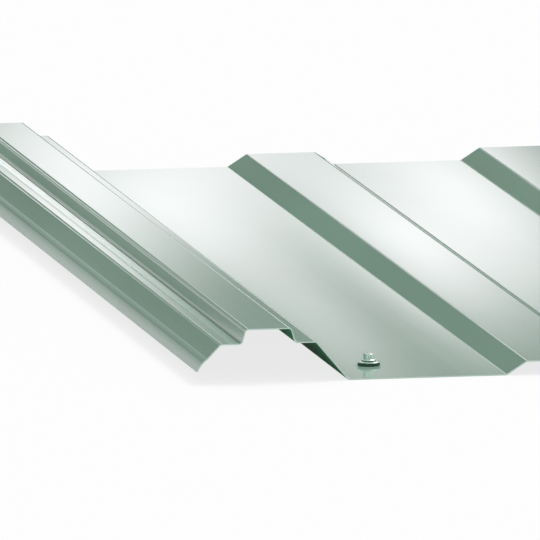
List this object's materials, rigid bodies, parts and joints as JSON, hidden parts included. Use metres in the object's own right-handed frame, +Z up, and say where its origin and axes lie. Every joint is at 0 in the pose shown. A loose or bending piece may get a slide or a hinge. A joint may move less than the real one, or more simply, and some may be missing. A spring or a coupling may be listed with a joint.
{
  "type": "corrugated metal roofing sheet",
  "caption": "Long roll-formed steel roofing sheet with tall stepped side-lap ribs, low stiffening ribs between flat pans, and fixing holes at one end.",
  "frame": {"origin": "on the underside of the middle pan, halfway along the sheet", "axes": "+X across the sheet from the covering lap rib to the covered one, +Y along the ribs away from the fixing holes, +Z up"},
  "size_m": [0.8183, 1.2, 0.045],
  "materials": {
    "coated_steel": "pale grey-green metallic coating, semi-gloss, on roll-formed steel"
  },
  "bodies": {
    "root": {"corrugated_sheet": "coated_steel"}
  },
  "joints": []
}
